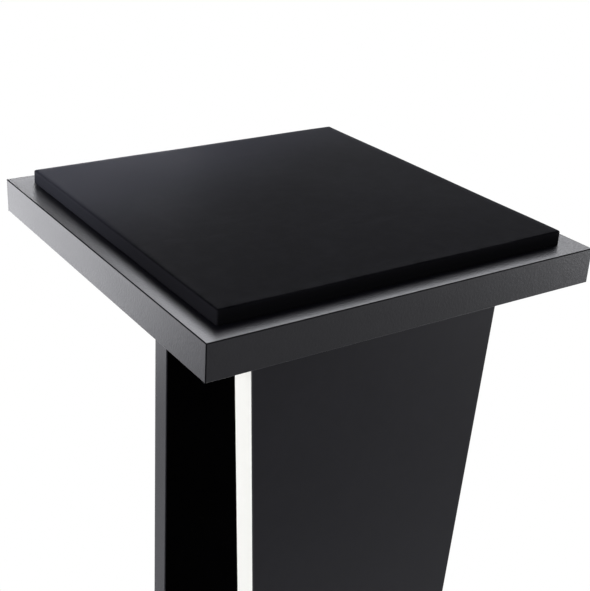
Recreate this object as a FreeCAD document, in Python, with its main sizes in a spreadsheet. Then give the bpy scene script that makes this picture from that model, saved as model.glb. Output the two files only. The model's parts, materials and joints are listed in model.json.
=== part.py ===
import FreeCAD
import Part
import os
import Sketcher

# Speaker stand: a square top plate with a foam pad, two upright boards, a base plate and screw feet.
# Millimetres, +Z up, origin on the floor under the middle of the stand, front towards -Y.

# Driving dimensions
SIZES = {
    # top plate, edge bands and the foam pad
    "plate_side": 285.75,
    "plate_thick": 23.8,
    "band_thick": 1.0,
    "arris_round": 0.6,
    "pad_margin": 15.0,
    "pad_thick": 9.5,
    "pad_corner": 2.0,
    "pad_edge": 0.8,
    "film_inset": 6.0,
    "film_thick": 0.2,
    # upright boards, each set back from its own edge of the top plate
    "board_length": 838.2,
    "board_thick": 19.05,
    "front_setback": 30.0,
    "front_top_width": 191.1,
    "front_foot_width": 105.0,
    "rear_setback": 30.0,
    "rear_width": 78.0,
    # base plate, which spreads beyond the top plate on every side
    "base_spread": 22.225,
    "base_thick": 23.8,
    # wooden dowels that line up boards and plates; the cover is the wood left over the hole in a plate
    "dowel_dia": 8.0,
    "dowel_in_board": 19.0,
    "dowel_inset": 11.0,
    "dowel_cover": 8.2,
    "dowel_room": 1.0,
    # countersunk connector bolts, with barrel nuts that lie across the boards
    "bolt_dia": 6.0,
    "bolt_head_lip": 3.0,
    "bolt_tail": 9.0,
    "bolt_room": 3.0,
    "socket_across": 4.0,
    "socket_depth": 2.2,
    "barrel_wall": 2.0,
    "barrel_inset": 34.0,
    "barrel_recess": 2.5,
    # screw feet, from the floor up
    "foot_inset": 32.0,
    "tread_dia": 35.0,
    "tread_thick": 3.0,
    "tread_seat": 1.2,
    "tread_chamfer": 0.6,
    "glide_lip": 2.5,
    "glide_rim": 3.2,
    "glide_hub_dia": 22.0,
    "glide_height": 9.0,
    "spindle_dia": 8.0,
    "spindle_tip": 1.0,
    "spindle_cover": 4.2,
    "spindle_room": 1.5,
    "spindle_head_lip": 2.5,
    "spindle_head_thick": 3.0,
    "nut_wall": 2.5,
    "nut_thick": 6.5,
    "insert_wall": 1.3,
    "insert_cover": 7.2,
    "insert_flange_lip": 3.7,
    "insert_flange_thick": 1.6,
    # clearances, each on the radius or between two faces
    "fit_gap": 0.05,
    "bolt_gap": 0.3,
    "head_gap": 0.2,
}

# Sizes and places worked out from the driving dimensions, as expressions on the sheet
PAD_SIDE = "(Sizes.plate_side - 2 * Sizes.pad_margin)"
BASE_SIDE = "(Sizes.plate_side + 2 * Sizes.base_spread)"
BAND_ROUND = "min(Sizes.arris_round; 0.6 * Sizes.band_thick)"

BOLT_HEAD_DIA = "(Sizes.bolt_dia + 2 * Sizes.bolt_head_lip)"
BARREL_DIA = "(Sizes.bolt_dia + 2 * Sizes.barrel_wall)"
BARREL_LENGTH = "(Sizes.board_thick - 2 * Sizes.barrel_recess)"
SPINDLE_HEAD_DIA = "(Sizes.spindle_dia + 2 * Sizes.spindle_head_lip)"
NUT_ACROSS = "(Sizes.spindle_dia + 2 * Sizes.nut_wall)"
INSERT_DIA = "(Sizes.spindle_dia + 2 * Sizes.insert_wall)"
INSERT_LENGTH = "(Sizes.base_thick - Sizes.insert_cover)"
INSERT_FLANGE_DIA = f"({INSERT_DIA} + 2 * Sizes.insert_flange_lip)"
GLIDE_DIA = "(Sizes.tread_dia + 2 * Sizes.glide_lip)"

BOLT_HOLE = "(Sizes.bolt_dia + 2 * Sizes.bolt_gap)"
DOWEL_HOLE = "(Sizes.dowel_dia + 2 * Sizes.fit_gap)"
BARREL_HOLE = f"({BARREL_DIA} + 2 * Sizes.fit_gap)"
SPINDLE_BORE = "(Sizes.spindle_dia + 2 * Sizes.fit_gap)"
BOLT_DEPTH = "(Sizes.barrel_inset + Sizes.bolt_tail + Sizes.bolt_room)"

HUB_TOP = "(Sizes.tread_thick + Sizes.glide_height)"
BASE_BOTTOM = f"({HUB_TOP} + Sizes.nut_thick)"
BASE_TOP = f"({BASE_BOTTOM} + Sizes.base_thick)"
PLATE_BOTTOM = f"({BASE_TOP} + Sizes.board_length)"
PLATE_TOP = f"({PLATE_BOTTOM} + Sizes.plate_thick)"
PAD_BOTTOM = f"({PLATE_TOP} + Sizes.film_thick)"

FRONT_INNER = "(-Sizes.plate_side / 2 + Sizes.front_setback + Sizes.board_thick)"
REAR_INNER = "(Sizes.plate_side / 2 - Sizes.rear_setback - Sizes.board_thick)"
FRONT_MIDDLE = f"({FRONT_INNER} - Sizes.board_thick / 2)"
REAR_MIDDLE = f"({REAR_INNER} + Sizes.board_thick / 2)"
FOOT_REACH = f"({BASE_SIDE} / 2 - Sizes.foot_inset)"

# The ends of the boards at each plate: the board's width there and the Y of its middle
TOP_ENDS = (("Sizes.front_top_width", FRONT_MIDDLE), ("Sizes.rear_width", REAR_MIDDLE))
BASE_ENDS = (("Sizes.front_foot_width", FRONT_MIDDLE), ("Sizes.rear_width", REAR_MIDDLE))
SIDES = (("left", -1), ("right", 1))

doc = FreeCAD.newDocument("SpeakerStand")
sheet = doc.addObject("Spreadsheet::Sheet", "Sizes")
for row, (alias, size) in enumerate(SIZES.items(), start=1):
    sheet.set(f"A{row}", alias)
    sheet.set(f"B{row}", str(size))
    sheet.setAlias(f"B{row}", alias)
doc.recompute()

parts = {}


def value(expression):
    """The present value of an expression on the sheet."""
    return float(sheet.evalExpression(expression))


def bind(item, **sizes):
    """Tie properties of an object to expressions on the sheet."""
    for name, expression in sizes.items():
        item.setExpression(name, expression)
    return item


def place(item, x="0", y="0", z="0", turn=None):
    """Put an object at a place given by expressions, turned by an axis and an angle in degrees."""
    if turn:
        item.Placement.Rotation = FreeCAD.Rotation(FreeCAD.Vector(*turn[0]), turn[1])
    for axis, expression in zip("xyz", (x, y, z)):
        item.setExpression(f"Placement.Base.{axis}", expression)
    return item


def subpart(label, item):
    """Give an object its label and keep it for export."""
    item.Label = label
    parts[label] = item
    return item


# Bodies, their sketches and features
def new_body(label):
    """An empty body that becomes a sub-part of the stand."""
    return subpart(label, doc.addObject("PartDesign::Body", label))


def new_sketch(body, plane, height):
    """An empty sketch on one of the body's origin planes, shifted along the plane's normal."""
    sketch = body.newObject("Sketcher::SketchObject", "Sketch")
    roles = {feature.Role: feature for feature in body.Origin.OriginFeatures}
    sketch.AttachmentSupport = (roles[plane], [""])
    sketch.MapMode = "FlatFace"
    sketch.setExpression("AttachmentOffset.Base.z", height)
    return sketch


def fix_point(sketch, geometry, point, x, y):
    """Hold a point of a sketch at a pair of expressions."""
    for kind, expression in (("DistanceX", x), ("DistanceY", y)):
        rule = Sketcher.Constraint(kind, -1, 1, geometry, point, value(expression))
        sketch.setExpression(f"Constraints[{sketch.addConstraint(rule)}]", expression)


def outline(body, plane, corners, height="0"):
    """A closed sketch of straight lines through corners, each a pair of expressions."""
    sketch = new_sketch(body, plane, height)
    points = [FreeCAD.Vector(value(x), value(y), 0) for x, y in corners]
    for start, stop in zip(points, points[1:] + points[:1]):
        sketch.addGeometry(Part.LineSegment(start, stop), False)
    for line in range(len(corners)):
        following = (line + 1) % len(corners)
        sketch.addConstraint(Sketcher.Constraint("Coincident", line, 2, following, 1))
    for line, (x, y) in enumerate(corners):
        fix_point(sketch, line, 1, x, y)
    return sketch


def circles(body, plane, centres, diameter, height="0"):
    """A sketch of equal circles, each centre a pair of expressions."""
    sketch = new_sketch(body, plane, height)
    up = FreeCAD.Vector(0, 0, 1)
    for index, (x, y) in enumerate(centres):
        centre = FreeCAD.Vector(value(x), value(y), 0)
        sketch.addGeometry(Part.Circle(centre, up, value(diameter) / 2), False)
        fix_point(sketch, index, 3, x, y)
        rule = Sketcher.Constraint("Diameter", index, value(diameter))
        sketch.setExpression(f"Constraints[{sketch.addConstraint(rule)}]", diameter)
    return sketch


def pad(body, sketch, length, backwards=False):
    """Raise a sketch into a solid."""
    feature = body.newObject("PartDesign::Pad", "Pad")
    feature.Profile = sketch
    feature.Reversed = backwards
    bind(feature, Length=length)
    doc.recompute()


def pocket(body, sketch, depth, backwards=False):
    """Cut a sketch into the solid, and make sure that the cut meets it."""
    before = body.Shape.Volume
    feature = body.newObject("PartDesign::Pocket", "Pocket")
    feature.Profile = sketch
    feature.Reversed = backwards
    bind(feature, Length=depth)
    doc.recompute()
    if not body.Shape.Volume < before:
        raise RuntimeError(f"a pocket of {body.Label} cuts nothing")


def revolve(body, sketch):
    """Turn a sketch once round its upright axis."""
    feature = body.newObject("PartDesign::Revolution", "Revolution")
    feature.Profile = sketch
    feature.ReferenceAxis = (sketch, ["V_Axis"])
    feature.Angle = 360
    doc.recompute()


def near(first, second):
    """Whether two lengths are the same within a thousandth of a millimetre."""
    return abs(first - second) < 1e-3


def at(**where):
    """A test of whether a point has the given coordinates."""
    return lambda point: all(near(getattr(point, axis), here) for axis, here in where.items())


def edges_where(shape, test):
    """Names of the edges of a shape whose ends all pass a test."""
    return [f"Edge{number}" for number, edge in enumerate(shape.Edges, start=1)
            if all(test(vertex.Point) for vertex in edge.Vertexes)]


def ease(body, kind, tests, **size):
    """Round or chamfer the edges that pass one of the tests, before the body is moved to its place."""
    solid = body.Tip
    feature = body.newObject(f"PartDesign::{kind}", kind)
    feature.Base = (solid, [name for test in tests for name in edges_where(solid.Shape, test)])
    bind(feature, **size)
    doc.recompute()


def square(side):
    """Corners of a square about the origin."""
    half = f"{side} / 2"
    return [(f"-{half}", f"-{half}"), (half, f"-{half}"), (half, half), (f"-{half}", half)]


# Where fasteners stand along the width of a board
def dowel_places(ends):
    """Centres of the dowels, two to a board."""
    return [(f"{sign} * ({wide} / 2 - Sizes.dowel_inset)", y) for wide, y in ends for _, sign in SIDES]


def bolt_places(ends):
    """Centres of the bolts, each half-way from a board's middle to a dowel."""
    return [(f"{x} / 2", y) for x, y in dowel_places(ends)]


# Plates and their edge bands
def make_plate(label, side, thick, bottom, ends, heads_on_top):
    """A square core with countersunk bolt holes right through and blind dowel holes in its inner face."""
    body = new_body(label)
    core = f"({side} - 2 * Sizes.band_thick)"
    pad(body, outline(body, "XY_Plane", square(core)), thick)
    pocket(body, circles(body, "XY_Plane", bolt_places(ends), BOLT_HOLE, thick), thick)
    head_face = value(thick) if heads_on_top else 0.0
    on_outline = value(core) / 2

    def hole_rim(point):
        return near(point.z, head_face) and not near(max(abs(point.x), abs(point.y)), on_outline)

    ease(body, "Chamfer", [hole_rim], Size="Sizes.bolt_head_lip")
    inner_face = "0" if heads_on_top else thick
    dowel_holes = circles(body, "XY_Plane", dowel_places(ends), DOWEL_HOLE, inner_face)
    pocket(body, dowel_holes, f"{thick} - Sizes.dowel_cover", backwards=heads_on_top)
    return place(body, z=bottom)


def make_plate_bands(prefix, side, thick, bottom):
    """Four edge bands round a plate: front and rear run full width, left and right fit between them."""
    reach = f"{side} / 2"
    between = f"({reach} - Sizes.band_thick)"
    bands = (("front", 0, reach, "0", f"-{reach}"), ("right", 90, between, reach, "0"),
             ("rear", 180, reach, "0", reach), ("left", 270, between, f"-{reach}", "0"))
    for name, angle, half, x, y in bands:
        body = new_body(f"{prefix}_band_{name}")
        strip = [(f"-{half}", "0"), (half, "0"), (half, "Sizes.band_thick"), (f"-{half}", "Sizes.band_thick")]
        pad(body, outline(body, "XY_Plane", strip), thick)
        arrises = [at(y=0, z=0), at(y=0, z=value(thick))]
        if half == reach:
            arrises += [at(x=-value(half), y=0), at(x=value(half), y=0)]
        ease(body, "Fillet", arrises, Radius=BAND_ROUND)
        place(body, x, y, bottom, ((0, 0, 1), angle))


# Foam pad and its adhesive film
def make_pad():
    """A flat sheet of foam with slightly rounded corners and an eased upper edge."""
    body = new_body("isolation_pad")
    pad(body, outline(body, "XY_Plane", square(PAD_SIDE)), "Sizes.pad_thick")
    half = value(PAD_SIDE) / 2
    corners = [at(x=x, y=y) for x in (-half, half) for y in (-half, half)]
    ease(body, "Fillet", corners, Radius="Sizes.pad_corner")
    ease(body, "Fillet", [at(z=value("Sizes.pad_thick"))], Radius="Sizes.pad_edge")
    place(body, z=PAD_BOTTOM)


def make_film():
    """The adhesive film between the pad and the plate."""
    film = subpart("pad_adhesive", doc.addObject("Part::Box", "pad_adhesive"))
    side = f"{PAD_SIDE} - 2 * Sizes.film_inset"
    bind(film, Length=side, Width=side, Height="Sizes.film_thick")
    corner = f"Sizes.film_inset - {PAD_SIDE} / 2"
    place(film, corner, corner, PLATE_TOP)


# Upright boards and their edge bands, with the inner face at local y = 0 and the foot at local z = 0
def make_board(label, top_width, foot_width, inner, angle):
    """A board with bolt and dowel holes in both ends and barrel-nut holes in its inner face."""
    body = new_body(label)
    top = f"({top_width} / 2 - Sizes.band_thick)"
    foot = f"({foot_width} / 2 - Sizes.band_thick)"
    face = [(f"-{foot}", "0"), (foot, "0"), (top, "Sizes.board_length"), (f"-{top}", "Sizes.board_length")]
    pad(body, outline(body, "XZ_Plane", face), "Sizes.board_thick", backwards=True)
    ends = ((foot_width, "0", "Sizes.barrel_inset", True),
            (top_width, "Sizes.board_length", "(Sizes.board_length - Sizes.barrel_inset)", False))
    for wide, end, barrel_height, upwards in ends:
        middle = ((wide, "Sizes.board_thick / 2"),)
        bolts = bolt_places(middle)
        pocket(body, circles(body, "XY_Plane", bolts, BOLT_HOLE, end), BOLT_DEPTH, upwards)
        dowel_depth = "Sizes.dowel_in_board + Sizes.dowel_room"
        pocket(body, circles(body, "XY_Plane", dowel_places(middle), DOWEL_HOLE, end), dowel_depth, upwards)
        barrels = [(x, barrel_height) for x, _ in bolts]
        barrel_depth = "Sizes.board_thick - Sizes.barrel_recess"
        pocket(body, circles(body, "XZ_Plane", barrels, BARREL_HOLE), barrel_depth)
    place(body, y=inner, z=BASE_TOP, turn=((0, 0, 1), angle))


def make_board_bands(prefix, top_width, foot_width, inner, angle):
    """The edge bands on the two sides of a board, eased along both long arrises."""
    for name, sign in SIDES:
        local = -sign if angle else sign
        body = new_body(f"{prefix}_band_{name}")
        top = f"{local} * {top_width} / 2"
        foot = f"{local} * {foot_width} / 2"
        inward = f"{local} * Sizes.band_thick"
        face = [(f"{foot} - {inward}", "0"), (foot, "0"), (top, "Sizes.board_length"),
                (f"{top} - {inward}", "Sizes.board_length")]
        pad(body, outline(body, "XZ_Plane", face), "Sizes.board_thick", backwards=True)
        foot_x = value(foot)
        lean = (value(top) - foot_x) / value("Sizes.board_length")

        def outer_arris(depth):
            return lambda point: near(point.x, foot_x + lean * point.z) and near(point.y, depth)

        arrises = [outer_arris(0.0), outer_arris(value("Sizes.board_thick"))]
        ease(body, "Fillet", arrises, Radius=BAND_ROUND)
        place(body, y=inner, z=BASE_TOP, turn=((0, 0, 1), angle))


# Fasteners
def group(label, solids):
    """Identical pieces that share one sub-part."""
    compound = subpart(label, doc.addObject("Part::Compound", label))
    compound.Links = solids


def cylinder(name, diameter, height, x, y, z, turn=None):
    """An upright cylinder, or one turned about its base."""
    item = bind(doc.addObject("Part::Cylinder", name), Radius=f"{diameter} / 2", Height=height)
    return place(item, x, y, z, turn)


def minus(name, base, tool):
    """One solid cut by another."""
    cut = doc.addObject("Part::Cut", name)
    cut.Base = base
    cut.Tool = tool
    return cut


def plus(name, first, second):
    """Two solids joined into one."""
    fuse = doc.addObject("Part::Fuse", name)
    fuse.Base = first
    fuse.Tool = second
    return fuse


def make_dowels(label, ends, seam, thick, plate_above):
    """Wooden dowels across the seam between a plate and the ends of the boards."""
    in_plate = f"({thick} - Sizes.dowel_cover - Sizes.dowel_room)"
    below = "Sizes.dowel_in_board" if plate_above else in_plate
    length = f"Sizes.dowel_in_board + {in_plate}"
    group(label, [cylinder("dowel", "Sizes.dowel_dia", length, x, y, f"{seam} - {below}")
                  for x, y in dowel_places(ends)])


def make_bolts(label, ends, face, thick, heads_on_top):
    """Countersunk bolts with a hexagon socket, their heads flush with a plate's outer face."""
    head = "Sizes.bolt_head_lip"
    length = f"({thick} + Sizes.barrel_inset + Sizes.bolt_tail)"
    rim = f"{BOLT_HEAD_DIA} / 2"
    neck = "Sizes.bolt_dia / 2"
    bolts = []
    for x, y in bolt_places(ends):
        cone = bind(doc.addObject("Part::Cone", "bolt_head"), Height=head)
        socket = doc.addObject("Part::Prism", "bolt_socket")
        socket.Polygon = 6
        bind(socket, Circumradius="Sizes.socket_across / sqrt(3)", Height="Sizes.socket_depth")
        if heads_on_top:
            place(bind(cone, Radius1=neck, Radius2=rim), x, y, f"{face} - {head}")
            place(socket, x, y, f"{face} - Sizes.socket_depth")
            shank_bottom = f"{face} - {length}"
        else:
            place(bind(cone, Radius1=rim, Radius2=neck), x, y, face)
            place(socket, x, y, face)
            shank_bottom = f"{face} + {head}"
        shank = cylinder("bolt_shank", "Sizes.bolt_dia", f"{length} - {head}", x, y, shank_bottom)
        bolts.append(minus("bolt", plus("bolt_blank", cone, shank), socket))
    group(label, bolts)


def make_barrel_nuts(label, ends, height):
    """Barrel nuts across the boards, each with the bolt's thread hole through its middle."""
    along_y = ((1, 0, 0), 90)
    nuts = []
    for x, y in bolt_places(ends):
        barrel_end = f"{y} + {BARREL_LENGTH} / 2"
        barrel = cylinder("barrel", BARREL_DIA, BARREL_LENGTH, x, barrel_end, height, along_y)
        thread_dia = "(Sizes.bolt_dia + 2 * Sizes.fit_gap)"
        thread = cylinder("barrel_thread", thread_dia, f"2 * {BARREL_DIA}", x, y, f"{height} - {BARREL_DIA}")
        nuts.append(minus("barrel_nut", barrel, thread))
    group(label, nuts)


# Screw feet
FEET = {f"{end}_{side}": (f"{x} * {FOOT_REACH}", f"{y} * {FOOT_REACH}")
        for end, y in (("front", -1), ("rear", 1)) for side, x in SIDES}
HEAD_BOTTOM = "(Sizes.tread_thick + Sizes.head_gap)"
HEAD_TOP = f"({HEAD_BOTTOM} + Sizes.spindle_head_thick)"
HEAD_CEILING = f"({HEAD_TOP} + Sizes.head_gap)"
SPINDLE_TOP = f"({BASE_TOP} - Sizes.spindle_cover)"


def drill_feet(base):
    """Stepped holes for the inserts and the ends of the studs in the underside of the base."""
    centres = list(FEET.values())
    flange = f"{INSERT_FLANGE_DIA} + 2 * Sizes.fit_gap"
    pocket(base, circles(base, "XY_Plane", centres, flange), "Sizes.insert_flange_thick", backwards=True)
    barrel = f"{INSERT_DIA} + 2 * Sizes.fit_gap"
    depth = "Sizes.base_thick - Sizes.spindle_cover + Sizes.spindle_room"
    pocket(base, circles(base, "XY_Plane", centres, barrel), depth, backwards=True)


def make_inserts():
    """Flanged threaded inserts, their flanges flush with the underside of the base."""
    inserts = []
    for x, y in FEET.values():
        flange = cylinder("insert_flange", INSERT_FLANGE_DIA, "Sizes.insert_flange_thick", x, y, BASE_BOTTOM)
        barrel = cylinder("insert_barrel", INSERT_DIA, INSERT_LENGTH, x, y, BASE_BOTTOM)
        thread = cylinder("insert_thread", SPINDLE_BORE, INSERT_LENGTH, x, y, BASE_BOTTOM)
        inserts.append(minus("insert", plus("insert_blank", flange, barrel), thread))
    group("foot_inserts", inserts)


def make_spindle(foot):
    """A threaded stud with a round head at its lower end and a chamfered tip."""
    body = new_body(f"foot_spindle_{foot}")
    rod = "Sizes.spindle_dia / 2"
    head = f"{SPINDLE_HEAD_DIA} / 2"
    profile = [("0", HEAD_BOTTOM), (head, HEAD_BOTTOM), (head, HEAD_TOP), (rod, HEAD_TOP),
               (rod, f"{SPINDLE_TOP} - Sizes.spindle_tip"), (f"{rod} - Sizes.spindle_tip", SPINDLE_TOP),
               ("0", SPINDLE_TOP)]
    revolve(body, outline(body, "XZ_Plane", profile))
    return body


def make_nut(foot):
    """A hexagon nut locked on the stud, between the glide and the base."""
    body = new_body(f"foot_nut_{foot}")
    flat = f"{NUT_ACROSS} / 2"
    corner = f"{NUT_ACROSS} / sqrt(3)"
    hexagon = [(corner, "0"), (f"{corner} / 2", flat), (f"-{corner} / 2", flat), (f"-{corner}", "0"),
               (f"-{corner} / 2", f"-{flat}"), (f"{corner} / 2", f"-{flat}")]
    pad(body, outline(body, "XY_Plane", hexagon, HUB_TOP), "Sizes.nut_thick")
    bore = circles(body, "XY_Plane", [("0", "0")], SPINDLE_BORE, BASE_BOTTOM)
    pocket(body, bore, "Sizes.nut_thick")
    return body


def make_glide(foot):
    """A moulded disc with a pocket for the stud's head and a shallow seat for the tread."""
    body = new_body(f"foot_glide_{foot}")
    rim = f"{GLIDE_DIA} / 2"
    bottom = "(Sizes.tread_thick - Sizes.tread_seat)"
    hub = "Sizes.glide_hub_dia / 2"
    bore = f"{SPINDLE_BORE} / 2"
    recess = f"{SPINDLE_HEAD_DIA} / 2 + Sizes.head_gap"
    seat = "Sizes.tread_dia / 2 + Sizes.fit_gap"
    profile = [(rim, bottom), (rim, f"{bottom} + Sizes.glide_rim"), (hub, HUB_TOP), (bore, HUB_TOP),
               (bore, HEAD_CEILING), (recess, HEAD_CEILING), (recess, "Sizes.tread_thick"),
               (seat, "Sizes.tread_thick"), (seat, bottom)]
    revolve(body, outline(body, "XZ_Plane", profile))
    return body


def make_tread(foot):
    """A rubber disc glued under the glide, eased where it meets the floor."""
    body = new_body(f"foot_tread_{foot}")
    rim = "Sizes.tread_dia / 2"
    profile = [("0", "0"), (f"{rim} - Sizes.tread_chamfer", "0"), (rim, "Sizes.tread_chamfer"),
               (rim, "Sizes.tread_thick"), ("0", "Sizes.tread_thick")]
    revolve(body, outline(body, "XZ_Plane", profile))
    return body


# The whole stand, from the top down
TOP = ("Sizes.plate_side", "Sizes.plate_thick", PLATE_BOTTOM)
BASE = (BASE_SIDE, "Sizes.base_thick", BASE_BOTTOM)
BOARDS = {"front": ("Sizes.front_top_width", "Sizes.front_foot_width", FRONT_INNER, 180),
          "rear": ("Sizes.rear_width", "Sizes.rear_width", REAR_INNER, 0)}

make_pad()
make_film()
make_plate("top_plate", *TOP, TOP_ENDS, heads_on_top=True)
make_plate_bands("top", *TOP)
for board_name, board in BOARDS.items():
    make_board(f"{board_name}_board", *board)
    make_board_bands(board_name, *board)
base_plate = make_plate("base_plate", *BASE, BASE_ENDS, heads_on_top=False)
drill_feet(base_plate)
make_plate_bands("base", *BASE)

make_dowels("top_dowels", TOP_ENDS, PLATE_BOTTOM, "Sizes.plate_thick", plate_above=True)
make_dowels("base_dowels", BASE_ENDS, BASE_TOP, "Sizes.base_thick", plate_above=False)
make_bolts("top_bolts", TOP_ENDS, PLATE_TOP, "Sizes.plate_thick", heads_on_top=True)
make_bolts("base_bolts", BASE_ENDS, BASE_BOTTOM, "Sizes.base_thick", heads_on_top=False)
make_barrel_nuts("top_barrel_nuts", TOP_ENDS, f"({PLATE_BOTTOM} - Sizes.barrel_inset)")
make_barrel_nuts("base_barrel_nuts", BASE_ENDS, f"({BASE_TOP} + Sizes.barrel_inset)")

make_inserts()
for foot_name, (foot_x, foot_y) in FEET.items():
    for make_piece in (make_spindle, make_nut, make_glide, make_tread):
        place(make_piece(foot_name), foot_x, foot_y)
doc.recompute()

# Every object has to be sound before anything is written
for item in doc.Objects:
    if "Invalid" in item.State or "Error" in item.State:
        raise RuntimeError(f"{item.Label} failed: {item.State}")
for label, item in parts.items():
    if item.Shape.isNull() or not item.Shape.isValid():
        raise RuntimeError(f"{label} has no sound shape")

os.makedirs("parts", exist_ok=True)
for label, item in parts.items():
    item.Shape.exportStep(f"parts/{label}.step")
    box = item.Shape.BoundBox
    print(f"{label}: {len(item.Shape.Solids)} solids, {item.Shape.Volume:.0f} mm3, "
          f"{box.XLength:.1f} x {box.YLength:.1f} x {box.ZLength:.1f} mm from z {box.ZMin:.1f}")
print(f"{len(parts)} sub-parts")
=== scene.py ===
# %% [markdown]
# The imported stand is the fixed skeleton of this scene: every solid is already at its real place and size,
# in metres. Loading it first means that each new piece can take its measures from a solid's own box.

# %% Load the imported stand
import json
import math
import bpy
import numpy as np
from mathutils import Matrix, Vector


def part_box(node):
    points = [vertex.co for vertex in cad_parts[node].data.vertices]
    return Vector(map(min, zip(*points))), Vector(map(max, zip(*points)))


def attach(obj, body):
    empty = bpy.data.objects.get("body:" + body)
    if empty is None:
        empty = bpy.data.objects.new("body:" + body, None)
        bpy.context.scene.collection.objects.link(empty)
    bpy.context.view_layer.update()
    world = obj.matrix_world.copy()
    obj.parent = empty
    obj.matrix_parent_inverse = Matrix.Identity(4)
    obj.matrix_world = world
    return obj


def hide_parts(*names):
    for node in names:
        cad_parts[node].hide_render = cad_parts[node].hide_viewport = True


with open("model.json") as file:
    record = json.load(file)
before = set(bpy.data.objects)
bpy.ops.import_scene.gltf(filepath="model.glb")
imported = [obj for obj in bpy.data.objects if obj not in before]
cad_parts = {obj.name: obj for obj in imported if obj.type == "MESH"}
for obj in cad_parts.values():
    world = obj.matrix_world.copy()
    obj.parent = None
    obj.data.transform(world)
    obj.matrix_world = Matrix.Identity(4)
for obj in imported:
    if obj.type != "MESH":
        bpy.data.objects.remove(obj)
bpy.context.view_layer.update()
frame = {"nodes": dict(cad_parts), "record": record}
MM = 0.001

# %% [markdown]
# A finish is a small network of nodes. Wiring each Math node by hand hides the idea behind it, so one
# small class wraps a socket: sums on it add the Math nodes, and any other kind of node comes from node().


# %% Shader values as plain expressions
class Value:
    """One output of a shader network. Sums on it add Math nodes, and node() adds any other node."""

    def __init__(self, tree, socket=None):
        self.tree = tree
        self.socket = socket

    def node(self, kind, settings=None, inputs=None, output=0):
        """Add a node, give it its settings, then the values or links of its sockets, and return an output."""
        made = self.tree.nodes.new("ShaderNode" + kind)
        for name, setting in (settings or {}).items():
            setattr(made, name, setting)
        for name, given in (inputs or {}).items():
            if isinstance(given, Value):
                self.tree.links.new(given.socket, made.inputs[name])
            else:
                made.inputs[name].default_value = given
        return Value(self.tree, made.outputs[output] if len(made.outputs) else None)

    def math(self, operation, *terms):
        """Add a Math node that works on the terms in their order."""
        return self.node("Math", {"operation": operation}, dict(enumerate(terms)))

    def __add__(self, other):
        return self.math("ADD", self, other)

    def __sub__(self, other):
        return self.math("SUBTRACT", self, other)

    def __rsub__(self, other):
        return self.math("SUBTRACT", other, self)

    def __mul__(self, other):
        return self.math("MULTIPLY", self, other)

    def __abs__(self):
        return self.math("ABSOLUTE", self)

    __radd__ = __add__
    __rmul__ = __mul__


# %% [markdown]
# A few nodes come up in every finish: a soft step, the larger or smaller of two values, a distance along a
# direction, and a blend of two colours. A Math node would turn a colour grey, so colours go through a Mix
# node, whose colour sockets come after its sockets for numbers and vectors.

# %% Steps, distances and blends
X_AXIS = (1, 0, 0)
Y_AXIS = (0, 1, 0)
Z_AXIS = (0, 0, 1)
MIX_FACTOR = 0
MIX_FIRST = 6
MIX_SECOND = 7
MIX_RESULT = 2


def ramp(value, low, high):
    """A soft step: 0 below low, 1 above high, and a smooth rise between them."""
    return value.node("MapRange", {"interpolation_type": "SMOOTHSTEP"},
                      {"Value": value, "From Min": low, "From Max": high})


def larger(first, second):
    """The larger of two values."""
    return first.math("MAXIMUM", first, second)


def smaller(first, second):
    """The smaller of two values."""
    return first.math("MINIMUM", first, second)


def along(place, direction):
    """The distance of a place along a direction of length 1."""
    return place.node("VectorMath", {"operation": "DOT_PRODUCT"}, {0: place, 1: direction}, output="Value")


def blend(factor, first, second):
    """A colour that goes from first to second as the factor goes from 0 to 1."""
    sockets = {MIX_FACTOR: factor, MIX_FIRST: first, MIX_SECOND: second}
    return factor.node("Mix", {"data_type": "RGBA"}, sockets, output=MIX_RESULT)


# %% [markdown]
# A camera is a place, a direction and a lens. The photograph's vanishing points give all three: the place is
# counted in plate sides from the top plate's near corner, and the lens in pixels of the photograph.

# %% Camera
PHOTO_WIDTH = 590
PHOTO_HEIGHT = 591
FOCAL_PIXELS = 1129.9
PRINCIPAL_PIXEL = (242.5, 295.0)
HEADING = math.radians(57.54)
DIP = math.radians(25.0)
ROLL = math.radians(2.265)
FROM_NEAR_CORNER = Vector((-0.9242, -1.5692, 0.9494))
NEAREST_SEEN = 0.01


def toward(heading, rise):
    """The direction of length 1 at a heading from +X and a rise above level, both in radians."""
    return Vector((math.cos(rise) * math.cos(heading), math.cos(rise) * math.sin(heading), math.sin(rise)))


def add_object(name, data):
    """A new object in the scene that holds the data, at the origin."""
    made = bpy.data.objects.new(name, data)
    bpy.context.scene.collection.objects.link(made)
    return made


plate_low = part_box("top_band_front")[0]
plate_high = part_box("top_band_rear")[1]
plate_side = plate_high.x - plate_low.x
near_corner = Vector((plate_low.x, plate_low.y, plate_high.z))
stance = near_corner + plate_side * FROM_NEAR_CORNER

forward = toward(HEADING, -DIP)
level = forward.cross(Vector(Z_AXIS)).normalized()
right = math.cos(ROLL) * level + math.sin(ROLL) * level.cross(forward)
upward = right.cross(forward)
attitude = Matrix((right, upward, -forward)).transposed().to_4x4()

camera = add_object("photo_camera", bpy.data.cameras.new("photo_camera"))
camera.matrix_world = Matrix.Translation(stance) @ attitude
longer_side = max(PHOTO_WIDTH, PHOTO_HEIGHT)
camera.data.lens = FOCAL_PIXELS * camera.data.sensor_width / longer_side
camera.data.shift_x = (PHOTO_WIDTH / 2 - PRINCIPAL_PIXEL[0]) / longer_side
camera.data.shift_y = (PRINCIPAL_PIXEL[1] - PHOTO_HEIGHT / 2) / longer_side
camera.data.clip_start = NEAREST_SEEN
bpy.context.scene.camera = camera
bpy.context.scene.view_settings.view_transform = "Standard"
print("camera at", [round(x, 3) for x in stance], "with a lens of", round(camera.data.lens, 1), "mm")

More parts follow.
